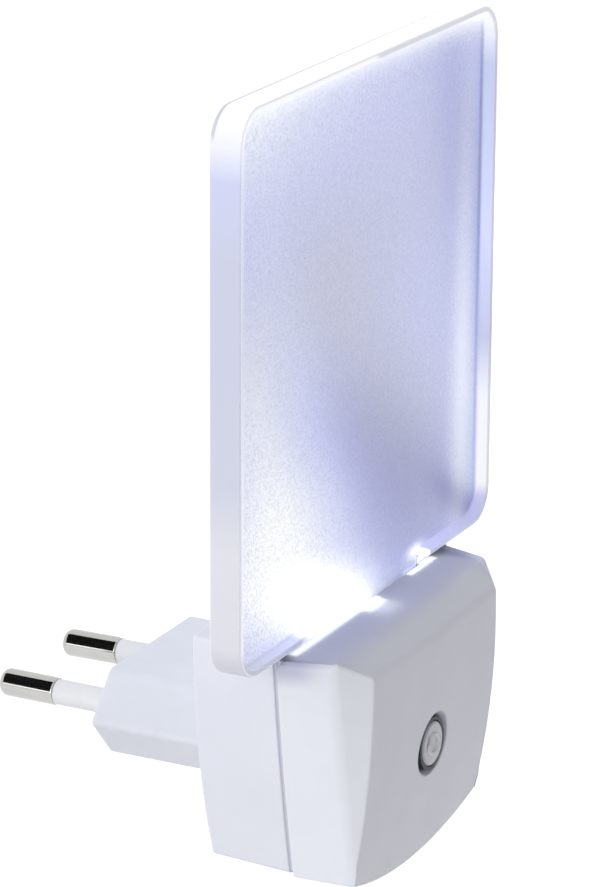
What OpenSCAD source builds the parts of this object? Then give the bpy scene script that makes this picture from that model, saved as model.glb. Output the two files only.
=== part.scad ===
// Plug-in night light with a dusk sensor and an upright frosted light panel.
// Millimetres. The origin is the middle of the plug's face, midway between the pins.
// +Y points into the wall, -Y into the room, +Z up. Depths count from the plug's face into the room.

/* [Plug] */
// Distance between the pins where they leave the plug's face
pin_spacing = 18.6; // [18:0.1:19.2]
// Distance between the pins at their tips
pin_tip_spacing = 18; // [17.4:0.1:18.4]
// Length of each pin in front of the plug's face
pin_length = 19; // [18:0.1:20]
// Diameter of the bare metal of each pin
pin_d = 4; // [3.6:0.02:4.2]
// Diameter of the insulating sleeve on each pin
sleeve_d = 3.65; // [3.4:0.05:3.8]
// Length of the sleeve in front of the plug's face
sleeve_length = 10; // [8:0.5:12]
// Diameter of the metal core inside the sleeve
core_d = 3; // [2.4:0.1:3.2]
// Width of the plug block across its side ridges
plug_w = 36; // [34:0.1:37]
// Width of the plug block's flat top and bottom
plug_flat_w = 24; // [22:0.1:28]
// Height of the plug block
plug_h = 12.8; // [12.4:0.1:14.5]
// Distance from the plug's face to the back of the casing
plug_reach = 19.4; // [16:0.2:24]
// Chamfer round the plug's face
plug_chamfer = 0.4; // [0.2:0.1:1.6]
// How far the plug's long edges are rounded, from each edge
plug_round = 0.9; // [0.3:0.1:1.5]

/* [Casing] */
// Height of the casing's top above the pins
case_top = 18.6; // [17:0.2:22]
// Distance that the casing hangs below the pins
case_drop = 18.2; // [17:0.2:22]
// Radius of the casing's curved underside
underside_r = 64; // [50:1:120]
// Wall thickness of the casing
wall = 1.8; // [1.4:0.1:2.4]
// Depth of the rear casing, from its back to the seam
rear_depth = 13.6; // [13.5:0.1:16]
// Width of the groove along the seam
seam_gap = 0.5; // [0.2:0.1:0.8]
// Depth of the groove along the seam
groove_depth = 0.4; // [0.2:0.1:0.6]
// Depth of the front casing, from the seam to its front face
front_depth = 11.3; // [10.5:0.1:13]
// Width of the casing at its back
back_w = 48; // [46:0.2:50]
// Width of the casing at the seam
seam_w = 53.6; // [52:0.2:58]
// Width of the casing at the shoulder, where its sides meet the corner facets
shoulder_w = 49.1; // [46:0.1:51]
// Width of the flat front face at its top
front_w = 39.7; // [34:0.1:43]
// Extra half width of the front face at the middle of its height
front_swell = 0.4; // [0:0.1:1]
// How far the front face bulges across its middle
front_crown = 0.3; // [0:0.1:0.6]
// Height of the sloped brow above the front face
brow_h = 2.8; // [2:0.1:6]
// Depth of the sloped brow above the front face
brow_depth = 4; // [3:0.1:6]
// Radius of the front face, which leans back towards the bottom
front_bow_r = 135; // [110:5:300]
// Thickness of the raised lips beside the casing's top
lip_w = 0.8; // [0.5:0.1:1.2]
// Drop of the sunk top between the lips
sunk_h = 0.6; // [0.2:0.1:0.9]
// Radius of the soft crest between the sunk top and the brow
crest_r = 7; // [3:0.5:9]
// How far the casing's outer edges are rounded, from each edge
edge_round = 0.6; // [0.2:0.1:0.8]
// How far the edge between each side and its facet is rounded
shoulder_round = 1.1; // [0.3:0.1:1.4]
// Distance that the front casing stands lower than the rear casing
front_step = 0.5; // [0:0.1:0.8]

/* [Light panel] */
// Width of the light panel
panel_w = 78.6; // [60:0.2:100]
// Height of the light panel above the casing
panel_h = 76.3; // [50:0.1:100]
// Thickness of the light panel at its rim
panel_t = 4.7; // [4:0.1:6]
// Radius of the light panel's corners
panel_r = 5; // [3:0.5:8]
// Width of the rim round the panel's sunk front
rim_w = 0.9; // [0.6:0.1:2]
// Depth of the panel's sunk front
sunk_front = 1.8; // [1:0.1:2.4]
// Distance from the casing's back to the panel's back face
panel_set = 10.7; // [10.3:0.1:11.1]
// Gap between the casing's top and the panel
panel_lift = 0.3; // [0.1:0.1:0.8]
// Width of the tongue that the panel stands on
tongue_w = 36.4; // [30:0.2:37]
// Length of the tongue inside the casing
tongue_h = 6; // [5:0.1:6.4]

/* [Sensor] */
// Height of the sensor against the pins
sensor_z = -1.1; // [-3:0.1:1]
// Diameter of the sensor's lens
lens_d = 6.4; // [6:0.1:8]
// Width of the dark ring round the lens
ring_w = 0.6; // [0.4:0.1:0.8]
// Mouth diameter of the sensor's recess
recess_d = 9.4; // [9:0.1:12]
// Depth from the front face to the ring round the lens
recess_depth = 0.2; // [0.1:0.1:1]
// Diameter of the light-sensitive cell
cell_d = 5; // [4:0.1:5.2]

/* [Inside] */
// Width of the circuit board
board_w = 32; // [28:0.5:32.5]
// Height of the circuit board
board_h = 19; // [17:0.5:19]
// Thickness of the circuit board
board_t = 1.6; // [1:0.1:2]
// Length of the posts that carry the circuit board behind the front face
post_length = 7; // [6.4:0.1:7.3]
// Diameter of each light-emitting diode
led_d = 3; // [2.5:0.1:3.2]
// Distance from one light-emitting diode to the next
led_pitch = 10; // [8:0.5:11]
// Diameter of the screws that hold the casing together
screw_d = 2.5; // [2:0.1:2.8]
// Distance between the two upper screws
screw_spacing = 38; // [37:0.2:39]

/* [Hidden] */

round_fn = 48;
hull_slice = 0.01;
fit = 0.1;
// How far a boss or rib sinks into the shell that carries it
root = 0.5;
left = -1;
right = 1;

// Depths of the main planes, from the plug's face into the room
back_d = plug_reach;
rear_end_d = back_d + rear_depth;
front_start_d = rear_end_d + seam_gap;
face_d = front_start_d + front_depth;
inner_back_d = back_d + wall;
inner_face_d = face_d - wall;
board_front_d = inner_face_d - post_length;
board_depth = board_front_d - board_t;
panel_back_depth = back_d + panel_set;

// Heights of the main planes
front_top = case_top - front_step;
brow_z = front_top - brow_h;
low_z = -case_drop;
inner_top = case_top - wall;
panel_z = case_top + panel_lift;

// Shape of the casing's sides: how each width shrinks below the top
back_side_r = 103;
seam_side_r = 340;
seam_draft = 0.113;
facet_draft = 0.03;
shoulder_lean = 0.038;
bow_start_z = 12;
swell_z = -2;
slice_step = 3;
// The least depth of the facet between the shoulder and the front face
facet_min = 0.6;
// How far slanted edges move when the casing is drawn in, as shares of the inset
slant_share = 0.6;
brow_share = 0.4;
// The half-lapped joint at the seam
rabbet_depth = 1.2;
lip_reach = 1.5;

// Plug and pins
pin_toe = atan((pin_spacing - pin_tip_spacing) / 2 / pin_length);
pin_nose = 1.2;
core_run = 25;
sleeve_seat = 2;
flange_t = 2;
flange_rim = 1.6;
// How far the plug's corners move when its outline grows, as shares of the growth
ridge_share = 1.2;
flat_share = 0.7;
ridge_x = plug_w / 2;
flat_x = plug_flat_w / 2;

// Screws
screw_x = screw_spacing / 2;
screw_z = 6;
low_screw_z = -13;
screw_spots = [[-screw_x, screw_z], [screw_x, screw_z], [0, low_screw_z]];
boss_d = 5.4;
head_d = 4.4;
head_play = 0.4;
shank_play = 0.3;
head_t = 1.6;
head_depth = 8;
head_seat_d = back_d + head_depth;
socket_d = 1.6;
socket_depth = 0.8;
screw_bite = 7;

// Pegs that hold the circuit board on its posts
post_d = 3;
peg_d = 1.6;
post_x = board_w / 2 - 3;
post_z = -board_h / 4;

// Light panel and its tongue
plate_t = panel_t - sunk_front;
panel_front_d = panel_back_depth + panel_t;
tongue_z = panel_z - tongue_h;
tongue_mid_d = panel_back_depth + plate_t / 2;
barb_w = 1.1;
barb_h = 1.8;
slot_gap = 0.2;
slot_w = tongue_w + 2 * slot_gap;
slot_back_d = panel_back_depth - slot_gap;
rib_x = tongue_w * 0.38;
rib_w = 1.2;

// Light-emitting diodes
led_dome_gap = 0.8;
led_top = tongue_z - led_dome_gap;
led_body_h = 5.1;
led_flange_d = led_d + 0.8;
led_flange_t = 1;
led_base = led_top - led_body_h - led_flange_t;
holder_t = 2;
holder_w = 2 * led_pitch + 9;
holder_rim = 2.2;
lead_d = 0.5;
lead_pitch = 1.27;

// Parts on the circuit board
board_edge_gap = 1.1;
film_w = 13;
film_h = 5.2;
film_t = 8.6;
can_d = 6.3;
can_h = 7;
bridge_w = 4.7;
bridge_h = 4;
bridge_t = 2.6;
bridge_z = 0.2;

// Sensor
shroud_d = lens_d + 2 * ring_w;
mouth_d = front_at(sensor_z) + front_crown;
shroud_front_d = mouth_d - recess_depth;
dish_depth = 0.9;
sensor_lean = asin((bow_start_z - sensor_z) / front_bow_r);
lens_sink = 0.9;
lens_lift = 0.2;
lens_seat_d = shroud_front_d - lens_sink;
lens_bore_d = lens_d + 2 * fit;
cell_gap = 0.3;
cell_front_d = lens_seat_d - cell_gap;
cell_t = 2;
cell_lead_x = 1.7;
lens_dome = 0.4;

// How far a circle's edge falls away at a distance from its top
function sag(run, r) = r - sqrt(r * r - run * run);
// Half widths of the casing at a height, at its back, at the seam and at the shoulder
function back_half(z) = back_w / 2 - sag(case_top - z, back_side_r);
function seam_half(z) = seam_w / 2 - seam_draft * (case_top - z) - sag(case_top - z, seam_side_r);
function shoulder_half(z) = seam_half(z) - (seam_w - shoulder_w) / 2 + facet_draft * (case_top - z);
function front_half(z) = front_w / 2 + front_swell * (1 - pow((z - swell_z) / (brow_z - swell_z), 2));
// Depth of the front face, and of the shoulder, at a height
function front_at(z) = face_d - sag(max(0, bow_start_z - z), front_bow_r);
function shoulder_at(z) = min(face_d - brow_depth + shoulder_lean * (case_top - z), front_at(z) - facet_min);

// A corner turned into a curve that leaves each of its two edges a run away from the corner
function unit(v) = v / norm(v);
function eased(before, corner, after, run) = let (
    from = corner + run * unit(before - corner),
    to = corner + run * unit(after - corner))
    [for (t = [0:0.25:1]) (1 - t) * (1 - t) * from + 2 * t * (1 - t) * corner + t * t * to];
function eased_outline(points, run) = let (n = len(points))
    [for (i = [0:n - 1]) each eased(points[(i + n - 1) % n], points[i], points[(i + 1) % n], run)];

// Plan outlines of the two casings at a height, drawn in by an inset
function mirrored(half) = concat(half, [for (i = [len(half) - 1:-1:0]) [-half[i].x, half[i].y]]);
function rear_plan(z, inset, from, to) = let (
    back = [back_half(z) - inset, -from],
    seam = [seam_half(z) - inset, -to])
    mirrored(concat(eased([0, -from], back, seam, edge_round), [seam]));
function side_plan(z, inset, from) = let (
    seam = [seam_half(z) - inset, -from],
    shoulder = [shoulder_half(z) - inset, -shoulder_at(z) + inset * slant_share],
    front = [front_half(z) - inset * slant_share, -front_at(z) + inset])
    concat([seam], eased(seam, shoulder, front, shoulder_round));
function front_plan(z, inset, from) = let (
    half = front_half(z) - inset * slant_share,
    bulge = [for (share = [1:-0.25:0.25])
        [half * share, -front_at(z) + inset - front_crown * (1 - share * share)]])
    mirrored(concat(side_plan(z, inset, from), bulge));

// How the top edges are rounded: pairs of a drop below the top and an inset, as shares of the rounding
top_steps = [[0, 1], [0.1, 0.55], [0.3, 0.3], [0.55, 0.1], [1, 0]];

module at_depth(d) {
    translate([0, -d, 0]) children();
}

// A rod along the depth axis between two depths
module rod(d, from, to) {
    translate([0, -from, 0]) rotate([90, 0, 0]) cylinder(d = d, h = to - from, $fn = round_fn);
}

// A block between two depths, centred on x, from one height to another
module block(w, from, to, low, high) {
    translate([-w / 2, -to, low]) cube([w, to - from, high - low]);
}

// The long cylinder whose lower side is the casing's underside
module underside(low, inset) {
    translate([0, 1, low + underside_r]) rotate([90, 0, 0])
        cylinder(r = underside_r - inset, h = face_d + 2, $fn = 180);
}

// A thin horizontal slice at a height
module slice(z) {
    translate([0, 0, z - hull_slice]) linear_extrude(hull_slice) children();
}

module rear_form(inset, from, to) {
    top = case_top - inset;
    intersection() {
        hull() {
            for (step = top_steps)
                slice(top - step[0] * edge_round)
                    polygon(rear_plan(top, inset + step[1] * edge_round, from, to));
            for (z = [top - slice_step:-slice_step:low_z - slice_step])
                slice(z) polygon(rear_plan(z, inset, from, to));
        }
        underside(low_z, inset);
    }
}

module front_form(inset, from) {
    low = low_z - front_step;
    top = front_top - inset;
    intersection() {
        hull() {
            for (step = top_steps)
                slice(top - step[0] * edge_round)
                    polygon(mirrored(side_plan(top, inset + step[1] * edge_round, from)));
            for (z = [brow_z - inset * brow_share:-slice_step:low - slice_step])
                slice(z) polygon(front_plan(z, inset, from));
        }
        underside(low, inset);
    }
}

// The casing's outline at the seam, as a slab between two depths
module seam_slab(inset, from, to) {
    heights = [for (z = [case_top - inset:-slice_step:low_z - slice_step]) z];
    intersection() {
        translate([0, -from, 0]) rotate([90, 0, 0]) linear_extrude(to - from)
            polygon(mirrored([for (z = heights) [seam_half(z) - inset, z]]));
        underside(low_z, inset);
    }
}

module panel_slot() {
    block(slot_w, slot_back_d, rear_end_d + 1, inner_top - 1, case_top + 1);
}

module rear_casing() {
    rabbet = wall / 2;
    color("#e6e9f2") difference() {
        union() {
            difference() {
                rear_form(0, back_d, rear_end_d);
                rear_form(wall, inner_back_d, rear_end_d + 1);
                seam_slab(rabbet, rear_end_d - rabbet_depth, rear_end_d + 1);
            }
            intersection() {
                rear_form(rabbet, back_d + 1, rear_end_d);
                union() {
                    for (spot = screw_spots) translate([spot.x, 0, spot.y])
                        rod(boss_d, inner_back_d - root, rear_end_d);
                    for (side = [left, right]) tongue_rib(side);
                }
            }
        }
        plug_opening();
        panel_slot();
        for (spot = screw_spots) translate([spot.x, 0, spot.y]) {
            rod(head_d + head_play, back_d - 1, head_seat_d);
            rod(screw_d + shank_play, head_seat_d - 1, rear_end_d + 1);
        }
    }
}

// A rib behind the panel's tongue
module tongue_rib(side) {
    translate([side * rib_x, 0, 0])
        block(rib_w, inner_back_d - root, slot_back_d, tongue_z, inner_top + root);
}

// The six-sided outline of the plug, grown on every side
module plug_outline(grow) {
    ridge = ridge_x + grow * ridge_share;
    flat = flat_x + grow * flat_share;
    high = plug_h / 2 + grow;
    polygon(eased_outline([[-ridge, 0], [-flat, high], [flat, high], [ridge, 0], [flat, -high],
        [-flat, -high]], plug_round));
}

module plug_slab(grow, from, to) {
    at_depth(from) rotate([90, 0, 0]) linear_extrude(to - from) plug_outline(grow);
}

module plug_opening() {
    plug_slab(fit, back_d - 1, inner_back_d + 1);
}

// Places its children on the axis of one pin, with +Y towards the pin's tip
module on_pin(side) {
    translate([side * pin_spacing / 2, 0, 0]) rotate([0, 0, side * pin_toe]) children();
}

module plug_block() {
    color("#dcdfe8") difference() {
        union() {
            plug_slab(0, plug_chamfer, inner_back_d);
            hull() {
                plug_slab(0, plug_chamfer, plug_chamfer + hull_slice);
                plug_slab(-plug_chamfer, 0, hull_slice);
            }
            plug_slab(flange_rim, inner_back_d, inner_back_d + flange_t);
        }
        for (side = [left, right]) on_pin(side) {
            rod(sleeve_d + 2 * fit, -1, sleeve_seat);
            rod(core_d + 2 * fit, 0, core_run);
        }
    }
}

module pin(side) {
    color("#c9c9cc") on_pin(side) {
        tip_y = pin_length - pin_nose;
        rod(pin_d, -tip_y, -sleeve_length);
        translate([0, tip_y, 0]) rotate([-90, 0, 0]) rotate_extrude($fn = round_fn)
            pin_nose_profile();
        rod(core_d, -sleeve_length, core_run);
    }
}

// Half outline of a pin's rounded nose
module pin_nose_profile() {
    intersection() {
        square([pin_d / 2, pin_nose]);
        union() {
            square([pin_d / 2 - pin_nose, pin_nose]);
            translate([pin_d / 2 - pin_nose, 0]) circle(r = pin_nose, $fn = round_fn);
        }
    }
}

module pin_sleeve(side) {
    color("#f0f0f2") on_pin(side) difference() {
        rod(sleeve_d, -sleeve_length, sleeve_seat);
        rod(core_d + fit, -sleeve_length - 1, sleeve_seat + 1);
    }
}

// A plate with round corners, between two depths
module round_plate(w, from, to, low, high, r) {
    block(w - 2 * r, from, to, low, high);
    block(w, from, to, low + r, high - r);
    for (x = [r - w / 2, w / 2 - r]) {
        for (z = [low + r, high - r]) translate([x, 0, z]) rod(2 * r, from, to);
    }
}

module light_panel() {
    high = panel_z + panel_h;
    floor_d = panel_back_depth + plate_t;
    color("#d4d8f2") difference() {
        union() {
            round_plate(panel_w, panel_back_depth, panel_front_d, panel_z, high, panel_r);
            block(tongue_w, panel_back_depth, floor_d, tongue_z, panel_z + 1);
            block(tongue_w + 2 * barb_w, panel_back_depth, floor_d,
                inner_top - panel_lift - barb_h, inner_top - panel_lift);
        }
        round_plate(panel_w - 2 * rim_w, floor_d, panel_front_d + 1,
            panel_z + rim_w, high - rim_w, panel_r - rim_w);
        block(tongue_w, floor_d, panel_front_d + 1, panel_z - 1, panel_z + rim_w + 1);
    }
}

// Cuts the front casing's top down between its side lips, and turns it over a soft crest into the brow
module sunk_top() {
    start_d = front_start_d - 1;
    brow_end = [-face_d - front_crown, brow_z];
    crest = [-shoulder_at(front_top), front_top - sunk_h];
    slope = atan((crest.y - brow_z) / (crest.x - brow_end.x));
    crest_centre = [crest.x + crest_r * tan(slope / 2), crest.y - crest_r];
    intersection() {
        linear_extrude(case_top + 1) polygon(mirrored([
            [seam_half(front_top) - lip_w, -start_d],
            [shoulder_half(front_top) - lip_w, crest.x],
            [front_half(brow_z), -face_d],
            [front_half(brow_z), brow_end.x - 1]]));
        rotate([90, 0, 90]) linear_extrude(seam_w + 2, center = true) polygon(concat(
            [[-start_d, case_top + 1], [-start_d, crest.y]],
            [for (share = [0:1 / 8:1]) crest_centre + crest_r * [-sin(slope * share), cos(slope * share)]],
            [brow_end, [brow_end.x - 1, brow_z], [brow_end.x - 1, case_top + 1]]));
    }
}

module front_casing() {
    lip_inset = wall / 2 + fit;
    color("#e9ebf3") difference() {
        union() {
            difference() {
                front_form(0, front_start_d);
                front_form(wall, front_start_d - 1);
            }
            difference() {
                seam_slab(lip_inset, rear_end_d - 1, front_start_d + lip_reach);
                seam_slab(wall + fit, rear_end_d - 2, front_start_d + lip_reach + 1);
                tongue_room();
            }
            difference() {
                seam_slab(groove_depth, rear_end_d, front_start_d + root);
                seam_slab(wall, rear_end_d - 1, front_start_d + 1);
                tongue_room();
            }
            intersection() {
                front_form(wall / 2, rear_end_d);
                union() {
                    for (spot = screw_spots) translate([spot.x, 0, spot.y])
                        rod(boss_d - 0.4, rear_end_d, face_d);
                    for (side = [left, right]) board_post(side);
                }
            }
        }
        sunk_top();
        for (spot = screw_spots) translate([spot.x, 0, spot.y])
            rod(screw_d + fit, rear_end_d - 1, rear_end_d + screw_bite + 0.6);
        sensor_opening();
    }
}

// The room that the panel's tongue needs in the front casing's inner lip
module tongue_room() {
    block(slot_w, rear_end_d - 2, front_start_d + 3, tongue_z - 1, case_top + 1);
}

// A post on the front casing that carries the circuit board, with a peg through the board
module board_post(side) {
    translate([side * post_x, 0, post_z]) {
        rod(post_d, board_front_d, face_d);
        rod(peg_d, board_depth + fit, face_d);
    }
}

// The bore for the sensor, and a shallow dish round it that leans with the front face
module sensor_opening() {
    bore_d = shroud_d + 2 * fit;
    flare = (recess_d - bore_d) / dish_depth;
    translate([0, 0, sensor_z]) {
        rod(bore_d, board_depth, face_d + 1);
        translate([0, -mouth_d, 0]) rotate([sensor_lean - 90, 0, 0]) translate([0, 0, -1])
            cylinder(d1 = recess_d + flare, d2 = bore_d, h = dish_depth + 1, $fn = round_fn);
    }
}

module sensor_shroud() {
    color("#2c2c30") translate([0, 0, sensor_z]) difference() {
        rod(shroud_d, board_front_d, shroud_front_d);
        rod(cell_d + 0.6, board_front_d - 1, shroud_front_d + 1);
        rod(lens_bore_d, lens_seat_d, shroud_front_d + 1);
    }
}

module sensor_lens() {
    edge_d = mouth_d - lens_lift - lens_dome;
    dome_r = (lens_d * lens_d / 4 + lens_dome * lens_dome) / (2 * lens_dome);
    color("#d9dbe0") translate([0, -edge_d, sensor_z]) rotate([90, 0, 0]) {
        translate([0, 0, lens_seat_d - edge_d])
            cylinder(d = lens_d, h = edge_d - lens_seat_d, $fn = round_fn);
        rotate_extrude($fn = round_fn) intersection() {
            square([lens_d / 2, lens_dome]);
            translate([0, lens_dome - dome_r]) circle(r = dome_r, $fn = 360);
        }
    }
}

module light_sensor() {
    color("#c98f6a") translate([0, 0, sensor_z]) {
        rod(cell_d, cell_front_d - cell_t, cell_front_d);
        for (side = [left, right]) translate([side * cell_lead_x, 0, 0])
            rod(lead_d, board_front_d, cell_front_d - cell_t);
    }
}

module circuit_board() {
    cut = 3;
    color("#3f7a4c") difference() {
        at_depth(board_depth) rotate([90, 0, 0]) linear_extrude(board_t)
            polygon([[-board_w / 2, board_h / 2], [board_w / 2, board_h / 2],
                [board_w / 2, cut - board_h / 2], [board_w / 2 - cut, -board_h / 2],
                [cut - board_w / 2, -board_h / 2], [-board_w / 2, cut - board_h / 2]]);
        for (side = [left, right]) translate([side * post_x, 0, post_z])
            rod(peg_d + 2 * fit, board_depth - 1, board_front_d + 1);
    }
}

module film_capacitor() {
    low = board_edge_gap - board_h / 2;
    color("#d8b23a") translate([film_w / 2 + 2 * board_edge_gap - board_w / 2, 0, 0])
        block(film_w, board_depth - film_t, board_depth, low, low + film_h);
}

module smoothing_capacitor() {
    color("#2f3a66") translate([board_w / 4, 0, can_d / 2 + 1.5 * board_edge_gap - board_h / 2])
        rod(can_d, board_depth - can_h, board_depth);
}

module bridge_rectifier() {
    color("#26262a") translate([led_pitch / 2, 0, 0])
        block(bridge_w, board_depth - bridge_t, board_depth, bridge_z, bridge_z + bridge_h);
}

// A resistor or diode lying along x, on two legs that reach the board
module axial_part(d, length, span, board_d, side) {
    axis_d = board_d + side * (d / 2 + 0.3);
    from = min(axis_d, board_d);
    to = max(axis_d, board_d);
    at_depth(axis_d) {
        translate([-length / 2, 0, 0]) rotate([0, 90, 0]) cylinder(d = d, h = length, $fn = round_fn);
        translate([-span / 2, 0, 0]) rotate([0, 90, 0]) cylinder(d = lead_d, h = span, $fn = 24);
    }
    for (x = [-span / 2, span / 2]) translate([x, 0, 0]) {
        rod(lead_d, from, to);
        at_depth(axis_d) sphere(d = lead_d, $fn = 24);
    }
}

module fuse_resistor() {
    color("#9aa7b8") translate([0, 0, -7.3]) axial_part(3.2, 7, 10.6, board_front_d, 1);
}

module bleed_resistor() {
    color("#c9b48c") translate([0, 0, 6.2]) axial_part(2.3, 6, 9, board_front_d, 1);
}

module zener_diode() {
    color("#b9583f") translate([-9.4, 0, 5.6]) axial_part(1.9, 4, 7, board_front_d, 1);
}

module transistor() {
    case_d = 4.6;
    lift = 1.2;
    high = board_front_d + lift + 4.4;
    color("#1f1f22") translate([9.4, 0, 4.8]) {
        intersection() {
            rod(case_d, board_front_d + lift, high);
            block(case_d, board_front_d + lift, high, -case_d / 2, case_d * 0.28);
        }
        for (i = [-1:1]) translate([i * lead_pitch, 0, 0])
            rod(lead_d, board_front_d, board_front_d + lift);
    }
}

module led_holder() {
    base = led_base + led_flange_t;
    color("#f4f4f4") difference() {
        block(holder_w, tongue_mid_d - holder_rim, board_depth, base, base + holder_t);
        for (i = [-1:1]) translate([i * led_pitch, -tongue_mid_d, base - 1])
            cylinder(d = led_d + 2 * fit, h = holder_t + 2, $fn = round_fn);
    }
}

module led(i) {
    leg_z = led_base - 1.4;
    color("#f2f4ff") translate([i * led_pitch, -tongue_mid_d, 0]) {
        translate([0, 0, led_base]) cylinder(d = led_flange_d, h = led_flange_t, $fn = round_fn);
        translate([0, 0, led_base]) cylinder(d = led_d, h = led_top - led_base - led_d / 2,
            $fn = round_fn);
        translate([0, 0, led_top - led_d / 2]) sphere(d = led_d, $fn = round_fn);
        for (side = [left, right]) translate([side * lead_pitch / 2, 0, leg_z]) {
            cylinder(d = lead_d, h = led_base - leg_z, $fn = 24);
            sphere(d = lead_d, $fn = 24);
            rod(lead_d, 0, board_depth - tongue_mid_d);
        }
    }
}

// A round wire through a list of points, as rings joined into one solid
function heading(path, i) = unit(path[min(i + 1, len(path) - 1)] - path[max(i - 1, 0)]);
function ring(path, i, r, sides) = let (
    along = heading(path, i),
    across = unit(cross(along, [0, 0, 1])),
    upward = cross(across, along))
    [for (k = [0:sides - 1]) path[i] + r * (cos(360 * k / sides) * across
        + sin(360 * k / sides) * upward)];

module wire(path, d) {
    sides = 10;
    last = (len(path) - 1) * sides;
    rings = [for (i = [0:len(path) - 1]) each ring(path, i, d / 2, sides)];
    walls = [for (i = [0:len(path) - 2], k = [0:sides - 1])
        [i * sides + k, i * sides + (k + 1) % sides,
            (i + 1) * sides + (k + 1) % sides, (i + 1) * sides + k]];
    start_cap = [for (k = [sides - 1:-1:0]) k];
    end_cap = [for (k = [0:sides - 1]) last + k];
    polyhedron(points = rings, faces = concat(walls, [start_cap, end_cap]), convexity = 4);
}

// The wire from the inner end of a pin to the circuit board, in a gentle S
module pin_wire(side) {
    steps = 14;
    pin_end_x = pin_spacing / 2 + core_run * sin(pin_toe);
    run = board_depth - core_run;
    rise = 2.2;
    path = [for (i = [0:steps]) let (t = i / steps)
        [side * pin_end_x, -core_run - run * t, rise * (1 - cos(180 * t)) / 2]];
    wire(path, 1.4);
}

module live_wire() {
    color("#8a5a33") pin_wire(left);
}

module neutral_wire() {
    color("#3b66b0") pin_wire(right);
}

module casing_screws() {
    color("#b8bac0") for (spot = screw_spots) translate([spot.x, 0, spot.y]) difference() {
        union() {
            rod(head_d, head_seat_d - head_t, head_seat_d);
            rod(screw_d, head_seat_d, rear_end_d + screw_bite);
        }
        rod(socket_d, head_seat_d - head_t - 1, head_seat_d - head_t + socket_depth);
    }
}

rear_casing();
front_casing();
light_panel();
plug_block();
pin(left);  // left_pin
pin(right);  // right_pin
pin_sleeve(left);  // left_pin_sleeve
pin_sleeve(right);  // right_pin_sleeve
sensor_lens();
sensor_shroud();
light_sensor();
circuit_board();
film_capacitor();
smoothing_capacitor();
bridge_rectifier();
fuse_resistor();
bleed_resistor();
transistor();
zener_diode();
led_holder();
led(left);  // left_led
led(0);  // middle_led
led(right);  // right_led
live_wire();
neutral_wire();
casing_screws();
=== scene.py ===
"""The looks of a plug-in night light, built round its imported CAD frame.

Metres. The origin is the middle of the plug's face. +Y points into the wall, -Y into the room, +Z up.
The two casing shells, the plug block, the panel, the pins, their sleeves and the lens are modelled
again here with rounded edges. The ring round the lens, the screws and the parts sealed inside keep
their CAD shape and get a material.
"""
import math

import bmesh
import bpy
from mathutils import Matrix, Vector

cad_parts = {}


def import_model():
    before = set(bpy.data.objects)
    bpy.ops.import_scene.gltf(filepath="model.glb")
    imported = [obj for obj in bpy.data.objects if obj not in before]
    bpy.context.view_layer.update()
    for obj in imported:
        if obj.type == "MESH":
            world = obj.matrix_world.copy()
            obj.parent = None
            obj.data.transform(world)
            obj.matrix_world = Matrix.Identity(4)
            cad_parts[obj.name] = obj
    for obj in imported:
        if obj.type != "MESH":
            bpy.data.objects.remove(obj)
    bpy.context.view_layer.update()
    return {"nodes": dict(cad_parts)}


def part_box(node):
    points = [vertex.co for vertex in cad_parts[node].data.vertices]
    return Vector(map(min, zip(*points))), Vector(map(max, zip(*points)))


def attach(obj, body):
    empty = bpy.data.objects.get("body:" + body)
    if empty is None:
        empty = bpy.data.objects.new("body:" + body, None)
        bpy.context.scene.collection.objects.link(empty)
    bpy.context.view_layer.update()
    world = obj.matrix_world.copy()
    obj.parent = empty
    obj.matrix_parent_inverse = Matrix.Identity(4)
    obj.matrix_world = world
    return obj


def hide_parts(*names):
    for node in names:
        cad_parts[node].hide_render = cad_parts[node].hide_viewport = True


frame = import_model()

MM = 0.001
LEFT, RIGHT = -1, 1

# Places that come from the CAD frame
REAR_LO, REAR_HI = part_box("rear_casing")
FRONT_LO, FRONT_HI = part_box("front_casing")
PANEL_LO, PANEL_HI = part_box("light_panel")
PLUG_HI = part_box("plug_block")[1]
LENS_LO, LENS_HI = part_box("sensor_lens")
SHROUD_LO, SHROUD_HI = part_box("sensor_shroud")
SCREW_LO, SCREW_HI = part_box("casing_screws")

# Casing
TOP_Z = REAR_HI.z
REAR_LOW_Z = REAR_LO.z
FRONT_TOP_Z = FRONT_HI.z
FRONT_LOW_Z = FRONT_LO.z
BACK_Y = REAR_HI.y
SEAM_Y = REAR_LO.y
SEAM_GAP = 0.5 * MM
GROOVE_DEPTH = 0.4 * MM
SEAM_ROUND = 0.22 * MM
FRONT_START_Y = SEAM_Y - SEAM_GAP
FRONT_CROWN = 0.3 * MM
FACE_Y = FRONT_LO.y + FRONT_CROWN
WALL = 1.8 * MM
SEAM_HALF = REAR_HI.x
BACK_HALF = 24 * MM
SHOULDER_IN = 2.25 * MM
FACET_DRAFT = 0.03
LEAST_FACET = 0.25 * MM
LEAST_FACET_DEPTH = 0.6 * MM
FRONT_HALF = 19.85 * MM
FRONT_SWELL = 0.4 * MM
SWELL_Z = -2 * MM
BACK_SIDE_R = 103 * MM
SEAM_SIDE_R = 340 * MM
SEAM_DRAFT = 0.113
SHOULDER_LEAN = 0.038
UNDERSIDE_R = 64 * MM
FRONT_BOW_R = 135 * MM
BOW_START_Z = 12 * MM
BROW_H = 2.8 * MM
BROW_DEPTH = 4 * MM
BROW_Z = FRONT_TOP_Z - BROW_H
LIP_W = 0.8 * MM
SUNK_H = 0.6 * MM
CREST_R = 7 * MM
RABBET = WALL / 2
RABBET_DEPTH = 1.2 * MM
LIP_TOP_Z = PANEL_LO.z - 1 * MM

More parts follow.
